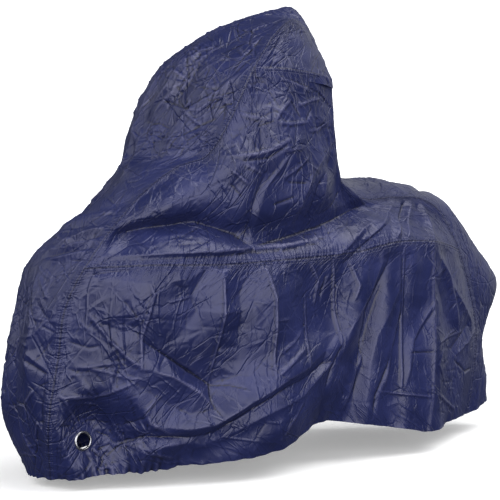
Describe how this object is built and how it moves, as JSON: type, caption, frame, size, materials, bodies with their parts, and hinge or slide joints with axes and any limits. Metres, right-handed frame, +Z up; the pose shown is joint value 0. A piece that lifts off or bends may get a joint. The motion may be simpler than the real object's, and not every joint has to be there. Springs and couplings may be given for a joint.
{
  "type": "scooter cover",
  "caption": "Fitted rain cover of navy coated cloth for a scooter with a tall windscreen: hollow, open below, with seamed panels, a lapped hood hem and lock eyelets.",
  "frame": {"origin": "on the underside of the hood, on the middle line, where the windscreen of the machine holds the cover up", "axes": "+X towards the tail, +Y towards the right side, +Z up"},
  "size_m": [2.0632, 0.7684, 1.4872],
  "materials": {
    "cloth": "semi-gloss coated weave",
    "eyelet": "bright nickel plate"
  },
  "bodies": {
    "root": {"front_strip": "cloth", "back_strip": "cloth", "hood_cap": "cloth", "upper_side_left": "cloth", "upper_side_right": "cloth", "lower_side_left": "cloth", "lower_side_right": "cloth", "eyelet_left": "eyelet", "eyelet_right": "eyelet"}
  },
  "joints": []
}
